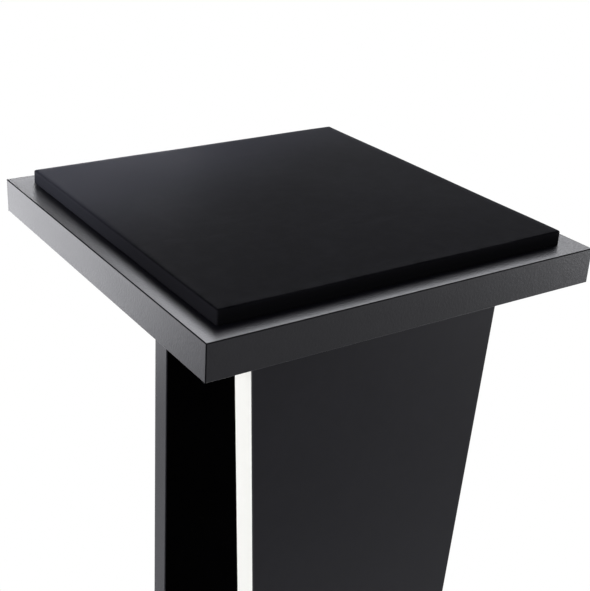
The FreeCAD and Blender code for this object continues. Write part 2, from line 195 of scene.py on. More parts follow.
# %% [markdown]
# Every finish starts from the same place: the surface's own position in metres, so that a grain of one
# millimetre is one millimetre on every piece, whatever its shape. It ends at the material's output.


# %% Starting and closing a finish
def new_finish(name):
    """An empty material, and the position on the surface in metres to build on."""
    material = bpy.data.materials.new(name)
    material.use_nodes = True
    material.node_tree.nodes.clear()
    return material, Value(material.node_tree).node("TexCoord", output="Object")


def close_finish(material, shader):
    """Join a shader to the output, and hand the finished material back."""
    shader.node("OutputMaterial", inputs={"Surface": shader})
    print("finish", material.name)
    return material


# %% [markdown]
# The stand was photographed on white. A white that came from more light would bleach the object, so the
# floor is white only to rays from the camera, mirrors and glass. Round the feet and in front, where the
# shadow falls, it stays an ordinary pale surface. Behind the stand and far off it fades to white.

# %% Floor
FLOOR_HALF = 12.0
FLOOR_TONE = (0.8, 0.8, 0.8, 1)
PURE_WHITE = (1, 1, 1, 1)
WEDGE = 0.5
FADE_FROM = 0.05
FADE_TO = 0.48
FAR_FROM = 1.7
FAR_TO = 3.2


def seen_directly(value):
    """1 for rays from the camera, from a mirror or through glass, and 0 for the rest."""
    rays = [value.node("LightPath", output=name)
            for name in ("Is Camera Ray", "Is Glossy Ray", "Is Transmission Ray")]
    return smaller(rays[0] + rays[1] + rays[2], 1.0)


def make_floor_finish():
    """Pale matt round the stand, mixed with plain white for rays that see it directly. With s the distance
    behind the stand and t the distance aside, the white is far off and where s - WEDGE * |t| is large."""
    material, place = new_finish("floor_finish")
    behind = along(place, toward(HEADING, 0))
    aside = along(place, toward(HEADING + math.pi / 2, 0))
    far_off = place.node("VectorMath", {"operation": "LENGTH"}, {0: place}, output="Value")
    share = larger(ramp(behind - WEDGE * abs(aside), FADE_FROM, FADE_TO), ramp(far_off, FAR_FROM, FAR_TO))
    white = share * seen_directly(place)
    matt = place.node("BsdfDiffuse", inputs={"Color": FLOOR_TONE})
    plain = place.node("Emission", inputs={"Color": PURE_WHITE, "Strength": 1.0})
    return close_finish(material, place.node("MixShader", inputs={0: white, 1: matt, 2: plain}))


floor_mesh = bpy.data.meshes.new("floor")
floor_corners = FLOOR_HALF * np.array([(-1, -1, 0), (1, -1, 0), (1, 1, 0), (-1, 1, 0)], float)
floor_mesh.from_pydata(floor_corners, [], [(0, 1, 2, 3)])
floor_mesh.materials.append(make_floor_finish())
floor = add_object("floor", floor_mesh)
print("floor", 2 * FLOOR_HALF, "m wide")

# %% [markdown]
# The world is treated the same way: white to the camera, mirrors and glass, and a dim fill light to all other
# rays. The white ends a little above the horizon, because a whole white sky would lie on the plate and the
# pad as a grey veil.

# %% White surround
FILL_LIGHT = 0.16
WALL_FADE_FROM = math.radians(14)
WALL_FADE_TO = math.radians(24)

world = bpy.data.worlds.new("white_surround")
world.use_nodes = True
world.node_tree.nodes.clear()
direction = Value(world.node_tree).node("TexCoord", output="Generated")
wall = 1 - ramp(along(direction, Z_AXIS), math.sin(WALL_FADE_FROM), math.sin(WALL_FADE_TO))
surround = FILL_LIGHT + (1 - FILL_LIGHT) * wall * seen_directly(direction)
glow = direction.node("Background", inputs={"Color": PURE_WHITE, "Strength": surround})
direction.node("OutputWorld", inputs={"Surface": glow})
bpy.context.scene.world = world
print("surround with a fill light of", FILL_LIGHT)

# %% [markdown]
# The light in the photograph comes from behind: two softboxes above the far side, a low panel behind and
# another behind on the left, a softbox on the left, a small panel low on the right and a very weak one in
# front. The rims of the plate shine where they mirror these panels, and the front stays dark. Each panel
# faces the top plate, seen from there at a heading and a rise in degrees, with its distance and size in
# metres. Two panels hang so low that they would draw bright patches on the floor. A photographer keeps light
# off with a flag, and light linking does the same here: it leaves the floor out of what these two light.

# %% Lamps
PANELS = {
    "overhead_lamp": dict(heading=40, rise=39, distance=2.3, width=2.0, height=1.1, brightness=6.2),
    "high_back_lamp": dict(heading=45, rise=53, distance=2.3, width=1.4, height=0.6, brightness=7.0),
    "low_back_lamp": dict(heading=75, rise=4, distance=2.2, width=1.0, height=0.6, brightness=9.0),
    "back_left_lamp": dict(heading=110, rise=-8, distance=1.6, width=0.85, height=1.3, brightness=2.65),
    "left_lamp": dict(heading=180, rise=8, distance=2.2, width=1.6, height=1.6, brightness=4.6),
    "right_lamp": dict(heading=-24, rise=-13, distance=2.0, width=1.05, height=0.6, brightness=4.4),
    "front_lamp": dict(heading=-100, rise=25, distance=2.6, width=1.6, height=1.4, brightness=0.15),
}
LAMP_COLOUR = (0.945, 0.95, 1.0)
AIM = Vector((0, 0, plate_high.z))
FLAGGED = ("back_left_lamp", "right_lamp")


def hang_lamp(name, heading, rise, distance, width, height, brightness):
    """A soft rectangular lamp that faces the plate and isn't seen by the camera. Its power is
    pi * width * height * brightness, so a larger panel is as bright as a small one and lights more."""
    lamp = bpy.data.lights.new(name, "AREA")
    lamp.shape = "RECTANGLE"
    lamp.size = width
    lamp.size_y = height
    lamp.energy = math.pi * width * height * brightness
    lamp.color = LAMP_COLOUR
    outward = toward(math.radians(heading), math.radians(rise))
    panel = add_object(name, lamp)
    panel.location = AIM + distance * outward
    panel.rotation_euler = (-outward).to_track_quat("-Z", "Y").to_euler()
    panel.visible_camera = False


for panel_name, panel_sizes in PANELS.items():
    hang_lamp(panel_name, **panel_sizes)
flag = bpy.data.collections.new("floor_flag")
flag.objects.link(floor)
flag.collection_objects[0].light_linking.link_state = "EXCLUDE"
for panel_name in FLAGGED:
    bpy.data.objects[panel_name].light_linking.receiver_collection = flag
print("lamps", ", ".join(PANELS))

# %% [markdown]
# The grain of a finish could be painted as an image, but that needs unwrapping and shows its pixels up close.
# Solid noise runs through the piece at a size in metres, and a Bump node turns it into relief.


# %% Grain and relief
def grain(place, size, detail=2.0, roughness=0.5):
    """Solid noise from 0 to 1 whose largest lumps are about size metres across."""
    return place.node("TexNoise", {"noise_dimensions": "3D"},
                      {"Vector": place, "Scale": 1 / size, "Detail": detail, "Roughness": roughness})


def relief(height, depth):
    """A normal that follows a height from 0 to 1, depth metres deep."""
    return height.node("Bump", inputs={"Height": height, "Distance": depth, "Strength": 1.0})


def plain_shader(place, **sockets):
    """Blender's general shader. A socket's name is written with underscores for its spaces."""
    inputs = {name.replace("_", " "): given for name, given in sockets.items()}
    return place.node("BsdfPrincipled", inputs=inputs)


# %% [markdown]
# Plates and boards are fibreboard under a black laminate. On the plates and on the bands of the rear board
# it has a fine pebbled grain. Under soft light the grain shows as a sparkle rather than as colour, so it is
# relief: lumps of about a millimetre with finer ones on them. The boards are nearly smooth. The inner face of
# the rear board is near-black, matt and almost without gloss: painted shade for the deep shadow between the
# boards. Hands and dust make the gloss uneven, so slow noise moves the roughness.

# %% Black laminate
LAMINATE_BLACK = (0.0056, 0.0054, 0.0086, 1)
LAMINATE_WORN = (0.0078, 0.0076, 0.0114, 1)
# Painted shade: near-black tones for the rear board's inner face, which lies in shadow between the boards.
PAINTED_SHADE_BLACK = (0.0004, 0.0004, 0.0005, 1)
PAINTED_SHADE_WORN = (0.0010, 0.0010, 0.0012, 1)
PEBBLE = dict(pebble=1.5 * MM, depth=0.10 * MM, roughness=0.31, mirror=0.42)
EDGE = dict(pebble=1.5 * MM, depth=0.10 * MM, roughness=0.31, mirror=0.27)
SMOOTH = dict(pebble=0.9 * MM, depth=0.01 * MM, roughness=0.40, mirror=0.21)
MATT_PAINTED_SHADE = dict(pebble=0.9 * MM, depth=0.01 * MM, roughness=0.60, mirror=0.004, tones=(PAINTED_SHADE_BLACK, PAINTED_SHADE_WORN))
COARSE_SHARE = 0.7
FINE_PEBBLE = 0.35
HAZE_SLOW = 60 * MM
HAZE_QUICK = 8 * MM
HAZE_SLOW_SHARE = 0.6
HAZE_STEP = (0.35, 0.7)
HAZE_SWING = 0.1


def laminate_shader(place, pebble, depth, roughness, mirror, tones=(LAMINATE_BLACK, LAMINATE_WORN)):
    """Black laminate with pebbles of a size and depth in metres, a roughness that wanders by HAZE_SWING of
    itself either way, and a mirror strength where 0.5 is plain plastic."""
    coarse = grain(place, pebble)
    fine = grain(place, FINE_PEBBLE * pebble)
    height = COARSE_SHARE * coarse + (1 - COARSE_SHARE) * fine
    slow = grain(place, HAZE_SLOW, detail=4.0, roughness=0.6)
    quick = grain(place, HAZE_QUICK)
    haze = HAZE_SLOW_SHARE * slow + (1 - HAZE_SLOW_SHARE) * quick
    uneven = (1 - HAZE_SWING) + 2 * HAZE_SWING * haze
    return plain_shader(place, Base_Color=blend(ramp(haze, *HAZE_STEP), *tones), Specular_IOR_Level=mirror,
                        Roughness=roughness * uneven, Normal=relief(height, depth))


# %% [markdown]
# The edges of each plate are faced with bands of the same laminate, and a fine dark joint shows along the
# arrises where a band meets the face. A groove that fine would need very small faces, so a dull black is
# mixed in by position instead. The same kind of mix gives the rear board its two faces: laminate outside,
# and painted shade on the inner face.

# %% Laminates of the plates and boards
JOINT_BLACK = (0.008, 0.008, 0.009, 1)
JOINT_FROM = 0.35 * MM
JOINT_TO = 0.80 * MM


def joint_share(place, corner):
    """0 on the joint along a plate's upper and upright arrises, 1 elsewhere. With u and w the distances in
    from the nearest and the next side and v the distance down from the top, the joint is where u + min(v, w)
    is almost nothing. The corner is the plate's highest one."""
    across = abs(along(place, X_AXIS))
    deep = abs(along(place, Y_AXIS))
    nearest = corner.x - larger(across, deep)
    next_side = corner.x - smaller(across, deep)
    down = corner.z - along(place, Z_AXIS)
    return ramp(nearest + smaller(down, next_side), JOINT_FROM, JOINT_TO)


def make_laminate(name, kind, corner=None):
    """One kind of laminate all over. Given a plate's highest corner, it has the joint of its edge bands."""
    material, place = new_finish(name)
    shader = laminate_shader(place, **kind)
    if corner is not None:
        joint = place.node("BsdfDiffuse", inputs={"Color": JOINT_BLACK})
        shader = place.node("MixShader", inputs={0: joint_share(place, corner), 1: joint, 2: shader})
    return close_finish(material, shader)


def make_rear_laminate():
    """Painted shade (near-black, matt) on the rear board's inner face, smooth laminate outside, by depth in
    the board.
    """
    material, place = new_finish("rear_laminate_painted_shade")
    low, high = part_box("rear_board")
    thick = high.y - low.y
    share = ramp(along(place, Y_AXIS), low.y + thick / 4, low.y + thick / 2)
    inner_painted_shade = laminate_shader(place, **MATT_PAINTED_SHADE)
    outer = laminate_shader(place, **SMOOTH)
    return close_finish(material, place.node("MixShader", inputs={0: share, 1: inner_painted_shade, 2: outer}))


top_laminate = make_laminate("top_laminate", PEBBLE, plate_high)
base_laminate = make_laminate("base_laminate", PEBBLE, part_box("base_band_rear")[1])
edge_laminate = make_laminate("edge_laminate", EDGE)
board_laminate = make_laminate("board_laminate", SMOOTH)
rear_laminate_painted_shade = make_rear_laminate()

# %% [markdown]
# The sides of the front board are faced with a smooth white band. Pure white clips in any light, so it is a
# soft white with the faint unevenness of extruded plastic. The black laminate of the two faces laps over the
# band's edges, so a fine black line borders the white.

# %% White edge band
WHITE_BAND = (0.90, 0.895, 0.825, 1)
WHITE_BAND_DULL = (0.86, 0.855, 0.785, 1)
LAP_FROM = 0.25 * MM
LAP_TO = 0.45 * MM
BAND_CLOUD = 25 * MM
BAND_RIPPLE = 3 * MM
BAND_RIPPLE_DEPTH = 0.01 * MM
BAND_ROUGHNESS = 0.30
BAND_DULLING = 0.1


def make_white_band():
    """Smooth white plastic: slow cloudy tone, a very shallow ripple, and black within a lap of the faces. The
    distance from the nearer face is thickness / 2 - |y - middle|."""
    material, place = new_finish("white_band_finish")
    low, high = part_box("front_board")
    from_face = (high.y - low.y) / 2 - abs(along(place, Y_AXIS) - (low.y + high.y) / 2)
    cloud = grain(place, BAND_CLOUD, detail=3.0)
    white = blend(cloud, WHITE_BAND, WHITE_BAND_DULL)
    return close_finish(material, plain_shader(
        place, Base_Color=blend(ramp(from_face, LAP_FROM, LAP_TO), LAMINATE_BLACK, white),
        Roughness=BAND_ROUGHNESS + BAND_DULLING * cloud,
        Normal=relief(grain(place, BAND_RIPPLE), BAND_RIPPLE_DEPTH)))


white_band = make_white_band()

# %% [markdown]
# The pad is a dense black foam, cut from a sheet. Its top is mottled, and rubbed in patches and along the
# edges.
# Towards the rear and the far left corner its top and sides are lighter: painted light, a painted highlight
# where the lamps behind and on the left fall on the pad. One flat black would look like paint, so noise at
# several sizes moves the tone. The open cells catch light at a shallow angle, which the shader's sheen stands
# for.

# %% Foam
FOAM_TOP = (0.0022, 0.0022, 0.0030, 1)
FOAM_RUBBED = (0.0060, 0.0059, 0.0074, 1)
# Painted light: the lighter tones towards the rear of the top and of the cut sides.
FOAM_PAINTED_LIGHT = (0.0270, 0.0278, 0.0370, 1)
FOAM_CUT = (0.0120, 0.0118, 0.0140, 1)
FOAM_CUT_PAINTED_LIGHT = (0.0340, 0.0350, 0.0430, 1)
FOAM_SHEEN = (0.90, 0.92, 1.0, 1)
FOAM_GLOSS = dict(Specular_IOR_Level=0.0022, Sheen_Weight=0.55, Sheen_Roughness=0.20, Sheen_Tint=FOAM_SHEEN)
FOAM_ROUGHNESS = 0.30
RUBBED_POLISH = 0.02
SKIN_FROM = 1.0 * MM
SKIN_TO = 0.3 * MM
RUBBED_RIM = 12 * MM
RIM_STEP = (0.3, 0.6)
MOTTLE_SIZE = 9 * MM
MOTTLE_STEP = (0.4, 0.65)
MOTTLE_SHARE = 0.4
STREAK_SIZE = 14 * MM
STREAK_STEP = (0.5, 0.75)
STREAK_SQUEEZE = (0.4, 1.0, 1.0)
PATCH_SIZE = 60 * MM
PATCH_STEP = (0.4, 0.65)
PAINTED_LIGHT_LEAN = 0.5
CELL_SIZE = 0.7 * MM
CELL_SHARE = 0.6
LUMP_SIZE = 1.6 * MM
CELL_DEPTH = 0.03 * MM


def foam_wear(place, across, deep, reach):
    """The worn patches, and all that is rubbed. The patches are streaks drawn out along x, kept to where slow
    noise is high. The rim is where max(|x|, |y|) is almost the pad's reach, and mottle breaks it up."""
    drawn = place.node("Mapping", inputs={"Vector": place, "Scale": STREAK_SQUEEZE})
    streaks = ramp(grain(drawn, STREAK_SIZE, detail=4.0, roughness=0.6), *STREAK_STEP)
    patches = streaks * ramp(grain(place, PATCH_SIZE), *PATCH_STEP)
    mottle = grain(place, MOTTLE_SIZE, detail=4.0, roughness=0.6)
    rim = ramp(larger(abs(across), abs(deep)), reach - RUBBED_RIM, reach) * ramp(mottle, *RIM_STEP)
    return patches, larger(larger(patches, rim), MOTTLE_SHARE * ramp(mottle, *MOTTLE_STEP))


def make_foam():
    """Black foam: fine cells as relief, a rubbed top, a plain cut side below the skin, and over both a
    painted highlight that grows with y - lean * x, from nothing in the middle to all at the far left corner."""
    material, place = new_finish("foam_finish")
    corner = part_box("isolation_pad")[1]
    across = along(place, X_AXIS)
    deep = along(place, Y_AXIS)
    skin_share = ramp(along(place, Z_AXIS), corner.z - SKIN_FROM, corner.z - SKIN_TO)
    patches, rubbed = foam_wear(place, across, deep, corner.x)
    # Painted light: a lighter tone on the top and sides towards the rear and the far left corner.
    painted_light = ramp(deep - PAINTED_LIGHT_LEAN * across, 0.0, (1 + PAINTED_LIGHT_LEAN) * corner.x)
    top_tone = blend(painted_light, blend(rubbed, FOAM_TOP, FOAM_RUBBED), FOAM_PAINTED_LIGHT)
    side_tone = blend(painted_light, FOAM_CUT, FOAM_CUT_PAINTED_LIGHT)
    cells = place.node("TexVoronoi", {"feature": "F1"}, {"Vector": place, "Scale": 1 / CELL_SIZE})
    height = CELL_SHARE * cells + (1 - CELL_SHARE) * grain(place, LUMP_SIZE, detail=3.0)
    return close_finish(material, plain_shader(
        place, Base_Color=blend(skin_share, side_tone, top_tone),
        Roughness=FOAM_ROUGHNESS - RUBBED_POLISH * patches * skin_share,
        Normal=relief(height, CELL_DEPTH), **FOAM_GLOSS))


foam = make_foam()

# %% [markdown]
# Bolts, barrel nuts, inserts, studs and hexes are zinc-plated steel. An even grey metal would look like
# plastic, so tone and roughness wander together, as the spangle of plating does, and a finer noise stands for
# the marks of the tools.

# %% Zinc-plated steel
ZINC = (0.60, 0.61, 0.64, 1)
ZINC_DULL = (0.46, 0.47, 0.50, 1)
ZINC_ROUGHNESS = 0.25
SPANGLE_SIZE = 2.5 * MM
SPANGLE_DULLING = 0.2
TOOL_MARK = 0.4 * MM
TOOL_MARK_DEPTH = 0.01 * MM


def make_zinc():
    """Plated steel: spangle in tone and roughness, and fine tool marks."""
    material, place = new_finish("zinc_steel_finish")
    spangle = grain(place, SPANGLE_SIZE, detail=3.0)
    return close_finish(material, plain_shader(
        place, Base_Color=blend(spangle, ZINC, ZINC_DULL), Metallic=1.0,
        Roughness=ZINC_ROUGHNESS + SPANGLE_DULLING * spangle,
        Normal=relief(grain(place, TOOL_MARK), TOOL_MARK_DEPTH)))


zinc_steel = make_zinc()

# %% [markdown]
# Glides and treads come out of moulds whose walls were eroded by sparks, which leaves an even grain. Both are
# black. Their gloss and the depth of the grain tell nylon from rubber, so one function makes the two.

# %% Moulded nylon and rubber
NYLON = (0.022, 0.022, 0.023, 1)
NYLON_SCUFFED = (0.040, 0.040, 0.041, 1)
NYLON_MOULD = dict(roughness=0.42, texture=0.5 * MM, depth=0.02 * MM)
RUBBER = (0.018, 0.018, 0.018, 1)
RUBBER_DUSTY = (0.050, 0.049, 0.047, 1)
RUBBER_MOULD = dict(roughness=0.75, texture=0.8 * MM, depth=0.04 * MM)
SCUFF_SIZE = 6 * MM
SCUFF_STEP = (0.5, 0.8)
SCUFF_DULLING = 0.1


def make_moulded(name, clean, marked, roughness, texture, depth):
    """Moulded black plastic or rubber: a spark-eroded texture of a size and depth in metres, with scuffs in a
    lighter tone."""
    material, place = new_finish(name)
    scuffs = ramp(grain(place, SCUFF_SIZE, detail=5.0, roughness=0.7), *SCUFF_STEP)
    return close_finish(material, plain_shader(
        place, Base_Color=blend(scuffs, clean, marked),
        Roughness=roughness + SCUFF_DULLING * scuffs, Normal=relief(grain(place, texture), depth)))


nylon = make_moulded("nylon_finish", NYLON, NYLON_SCUFFED, **NYLON_MOULD)
rubber = make_moulded("rubber_finish", RUBBER, RUBBER_DUSTY, **RUBBER_MOULD)

# %% [markdown]
# The dowels are bare beech with the grain along them. Noise is alike in all directions, so a Mapping node
# squeezes the position along the dowel, which draws the noise out. The film under the pad is pale and cloudy.
# Both are hidden, and get a finish because the parts are also looked at on their own.

# %% Beech and adhesive film
BEECH = (0.52, 0.33, 0.17, 1)
BEECH_FLECK = (0.36, 0.20, 0.09, 1)
BEECH_ROUGHNESS = 0.55
FIBRE_SIZE = 1.2 * MM
FIBRE_SQUEEZE = (1.0, 1.0, 0.12)
FIBRE_STEP = (0.45, 0.75)
FIBRE_DULLING = 0.1
FIBRE_DEPTH = 0.03 * MM
FILM = (0.62, 0.58, 0.48, 1)
FILM_CLOUDED = (0.50, 0.46, 0.36, 1)
FILM_CLOUD = 8 * MM
FILM_ROUGHNESS = 0.3
FILM_DULLING = 0.2


def make_beech():
    """Bare beech: grain drawn out along the dowel, with short dark flecks."""
    material, place = new_finish("beech_finish")
    drawn = place.node("Mapping", inputs={"Vector": place, "Scale": FIBRE_SQUEEZE})
    fibres = grain(drawn, FIBRE_SIZE, detail=3.0)
    return close_finish(material, plain_shader(
        place, Base_Color=blend(ramp(fibres, *FIBRE_STEP), BEECH, BEECH_FLECK),
        Roughness=BEECH_ROUGHNESS + FIBRE_DULLING * fibres, Normal=relief(fibres, FIBRE_DEPTH)))


def make_film():
    """Adhesive film: pale, slightly glossy and cloudy."""
    material, place = new_finish("adhesive_finish")
    cloud = grain(place, FILM_CLOUD, detail=3.0)
    return close_finish(material, plain_shader(
        place, Base_Color=blend(cloud, FILM, FILM_CLOUDED), Roughness=FILM_ROUGHNESS + FILM_DULLING * cloud))


beech = make_beech()
film = make_film()

# %% [markdown]
# The solids that are right as they are only need their finish. The record says which slot each one takes.
# Then the two plates swap theirs for the laminate with the coarser pebble and the joint, and the rear board
# for the one with matt painted shade on its inner face.

# %% Finishes on the solids
FINISHES = {
    "black_laminate": board_laminate,
    "black_band": edge_laminate,
    "white_band": white_band,
    "foam": foam,
    "adhesive": film,
    "beech": beech,
    "zinc_steel": zinc_steel,
    "black_nylon": nylon,
    "tread_rubber": rubber,
}
PLATE_PIECES = ("plate", "band_front", "band_right", "band_rear", "band_left")


def dress(name, material):
    """Give a solid its finish."""
    frame["nodes"][name].material_slots[0].material = material


for subpart in frame["record"]["subparts"]:
    dress(subpart["node"], FINISHES[subpart["material_slot"]])
for plate_piece in PLATE_PIECES:
    dress(f"top_{plate_piece}", top_laminate)
    dress(f"base_{plate_piece}", base_laminate)
dress("rear_board", rear_laminate_painted_shade)

# %% [markdown]
# New pieces are grids of points. A row is one closed line round the piece, and the rows follow a profile from
# the bottom, up the outside and in over the top. Joining each row to the next gives quads that face outwards.

# %% Grids into meshes
SHARP_ANGLE = math.radians(35)


def skin(name, points, slot, body, node, loop=False):
    """A closed piece from a grid of rows and columns. Columns close round. In a loop the last row joins the
    first, and otherwise the first and the last row are each closed by one face."""
    rows, columns = points.shape[:2]
    index = np.arange(rows * columns).reshape(rows, columns)
    quads = np.vstack([index, index[:1]]) if loop else index
    beside = np.roll(quads, -1, axis=1)
    faces = np.stack([quads[:-1], beside[:-1], beside[1:], quads[1:]], axis=-1).reshape(-1, 4).tolist()
    if not loop:
        faces += [index[0, ::-1].tolist(), index[-1].tolist()]
    mesh = bpy.data.meshes.new(name)
    mesh.from_pydata(points.reshape(-1, 3), [], faces)
    mesh.polygons.foreach_set("use_smooth", np.ones(len(mesh.polygons), bool))
    mesh.set_sharp_from_angle(angle=SHARP_ANGLE)
    mesh.materials.append(FINISHES[slot])
    piece = add_object(name, mesh)
    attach(piece, body)
    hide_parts(node)
    print(name, "has", len(mesh.polygons), "faces")
    return piece


# %% [markdown]
# The foam pad is a sheet with a knife-cut side and an upper edge that has softened a little. A plain block
# would have dead straight lines, so the profile is carried round a rounded square in rings. Slow waves lower
# the rings by up to three tenths of a millimetre and move their sides by one. A flat sheet of foam has no
# stitched cover to inflate, so moving the points does what a cloth simulation does for a cushion.

# %% Foam pad
PAD_CORNER = 1.2 * MM
LEAST_CORNER = 0.2 * MM
PAD_EDGE = 1.4 * MM
MIDDLE_RING = 0.98
UNDER_RING = 0.5
SIDE_RISES = np.array([0.25, 0.5, 0.75])
SIDE_STEPS = 60
CORNER_STEPS = 6
EDGE_STEPS = 6
TOP_RINGS = 40
PAD_WAVE = 0.10 * MM
X_RATE = 47.0
X_PHASE = 1.3
Y_RATE = 39.0
Y_PHASE = 0.4
CROSS_SHARE = 0.5
CROSS_X_RATE = 83.0
CROSS_Y_RATE = 71.0
CROSS_PHASE = 2.1
SIDE_WAVES = 9


def square_walk():
    """Once round a square: the corner centre to offset from, and the outward direction, at each step."""
    corners = np.array([(1, 1), (-1, 1), (-1, -1), (1, -1)], float)
    share = np.linspace(0, 1, SIDE_STEPS, endpoint=False)[:, None]
    turn = np.linspace(0, 1, CORNER_STEPS, endpoint=False)
    centres, angles = [], []
    for quarter in range(4):
        here, following = corners[quarter], corners[(quarter + 1) % 4]
        centres += [np.repeat(here[None], CORNER_STEPS, 0), here + share * (following - here)]
        angles += [(quarter + turn) * np.pi / 2, np.full(SIDE_STEPS, (quarter + 1) * np.pi / 2)]
    angle = np.concatenate(angles)
    return np.concatenate(centres), np.stack([np.cos(angle), np.sin(angle)], axis=-1)


def pad_profile(half, tall):
    """The inset from the side and the rise from the bottom of each ring: out along the underside, up the
    side, round a quarter circle of radius PAD_EDGE and in over the top."""
    ease = np.linspace(0, np.pi / 2, EDGE_STEPS)
    top = np.linspace(PAD_EDGE, MIDDLE_RING * half, TOP_RINGS)[1:]
    under = half * np.array([MIDDLE_RING, UNDER_RING, 0])
    inset = [under, np.zeros(len(SIDE_RISES)), PAD_EDGE * (1 - np.cos(ease)), top]
    rise = [np.zeros(len(under)), (tall - PAD_EDGE) * SIDE_RISES, tall - PAD_EDGE + PAD_EDGE * np.sin(ease),
            np.full(len(top), tall)]
    return np.concatenate(inset), np.concatenate(rise)


def pad_wave(x, y):
    """Slow waves of at most 1 + CROSS_SHARE: sin along x times sin along y, and a weaker sin across both."""
    cross = np.sin(x * CROSS_X_RATE - y * CROSS_Y_RATE + CROSS_PHASE)
    return np.sin(x * X_RATE + X_PHASE) * np.sin(y * Y_RATE + Y_PHASE) + CROSS_SHARE * cross


def make_pad():
    """Rings of a rounded square. At inset d from the side the corner radius is PAD_CORNER - d / 2, or
    LEAST_CORNER if that is more, and point = (half - d - radius) * corner + radius * direction. The waves
    lower a ring in proportion to its rise, and SIDE_WAVES waves round the pad widen and narrow it."""
    low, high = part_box("isolation_pad")
    half = (high.x - low.x) / 2
    tall = high.z - low.z
    inset, rise = pad_profile(half, tall)
    corner, direction = square_walk()
    radius = np.maximum(PAD_CORNER - inset / 2, LEAST_CORNER)[:, None, None]
    flat = (half - inset[:, None, None] - radius) * corner + radius * direction
    x, y = flat[..., 0], flat[..., 1]
    lift = PAD_WAVE * (pad_wave(x, y) - (1 + CROSS_SHARE))
    height = low.z + rise[:, None] + lift * (rise[:, None] / tall)
    widen = 1 + PAD_WAVE / half * np.sin(SIDE_WAVES * np.arctan2(y, x))
    points = np.concatenate([flat * widen[..., None], height[..., None]], axis=-1)
    return skin("foam_pad", points, "foam", "stand", "isolation_pad")


make_pad()

# %% [markdown]
# A screw foot is turned and moulded work, so each piece is a profile of radius and height carried once round
# the foot's own axis. Only the stud and the hex are not round: their radius also changes with the angle. The
# sizes come from the boxes of the solids that they stand for.

# %% Turned pieces
FEET = ("front_left", "front_right", "rear_left", "rear_right")
TURN_STEPS = 96
turn_angle = np.linspace(0, 2 * np.pi, TURN_STEPS, endpoint=False)


def turned(node, profile):
    """A profile of (radius, height) rows carried round the axis of a node: x = r cos a, y = r sin a. A radius
    is one number for a round row, or one number for each step of the turn."""
    low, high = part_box(node)
    radius = np.stack([np.broadcast_to(r, TURN_STEPS) for r, _ in profile])
    height = np.broadcast_to(np.array([z for _, z in profile])[:, None], radius.shape)
    return np.stack([(low.x + high.x) / 2 + radius * np.cos(turn_angle),
                     (low.y + high.y) / 2 + radius * np.sin(turn_angle), height], axis=-1)


def eased(corner, before, after, size, steps=5):
    """The corner of a profile rounded off: a curve from size before the corner to size after it, with the
    point at share s at (1 - s)^2 first + 2 s (1 - s) corner + s^2 last."""
    corner = np.array(corner)
    ways = [np.array(before) - corner, np.array(after) - corner]
    first, last = [corner + size * way / np.linalg.norm(way) for way in ways]
    share = np.linspace(0, 1, steps)[:, None]
    return ((1 - share) ** 2 * first + 2 * share * (1 - share) * corner + share ** 2 * last).tolist()


print("turned pieces have", TURN_STEPS, "steps round")

# %% [markdown]
# The stud is an M8 screw with a flat head that turns inside the glide. The thread could be a bump in the
# finish, but it shows in outline when a foot is wound down, so it is shape: the radius falls and rises with
# height, and the wave climbs one pitch for each turn.

# %% Threaded studs
PITCH = 1.25 * MM
THREAD_DEPTH = 0.7 * MM
THREAD_FLAT = 0.125
THREAD_ROWS = 10
STUD_RADIUS = 4.0 * MM
STUD_CLEARANCE = 0.05 * MM
STUD_HEAD = 3.0 * MM
STUD_PLAIN = 8.0 * MM
STUD_TIP = 1.0 * MM
STUD_CAP = 0.2 * MM
HEAD_EASE = 0.4 * MM


def make_stud(foot):
    """Head, plain shank and thread. On the thread, with s = height / PITCH - angle / turn, the radius is
    STUD_RADIUS - THREAD_DEPTH * wave(s), where the wave is a triangle with a flat crest and root. It fades in
    and out over one pitch at the ends."""
    node = f"foot_spindle_{foot}"
    low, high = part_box(node)
    head = (high.x - low.x) / 2
    start, stop = low.z + STUD_PLAIN, high.z - STUD_TIP
    heights = np.arange(start, stop, PITCH / THREAD_ROWS)
    share = (heights[:, None] / PITCH - turn_angle / (2 * np.pi)) % 1.0
    wave = np.clip((1 + 2 * THREAD_FLAT) * np.abs(2 * share - 1) - THREAD_FLAT, 0, 1)
    fade = np.clip(np.minimum(heights - start, stop - heights) / PITCH, 0, 1)[:, None]
    thread = STUD_RADIUS - THREAD_DEPTH * wave * fade
    neck = low.z + STUD_HEAD
    profile = [(STUD_CAP, low.z), *eased((head, low.z), (0, low.z), (head, neck), HEAD_EASE),
               *eased((head, neck), (head, low.z), (0, neck), HEAD_EASE),
               (STUD_RADIUS - STUD_CLEARANCE, neck), *zip(thread, heights), (STUD_RADIUS, stop),
               (STUD_RADIUS - STUD_TIP, high.z), (STUD_CAP, high.z)]
    return skin(f"threaded_stud_{foot}", turned(node, profile), "zinc_steel", f"stud_{foot}", node)


for foot in FEET:
    make_stud(foot)

# %% [markdown]
# The hex that a spanner turns is cut from bar: six flats, and corners taken down by a cone at each end. A
# radius that is the smaller of the hexagon and the cone gives the curved edges of a real nut with no cutting.

# %% Hex nuts
HEX_BORE = 4.05 * MM
HEX_SINK = 0.5 * MM
HEX_CLEARANCE = 0.05 * MM
CONE_START = 0.95
CONE_SLOPE = math.tan(math.radians(60))
CONE_ROWS = np.array([0, 0.15, 0.3, 0.5, 0.7, 0.9]) * MM


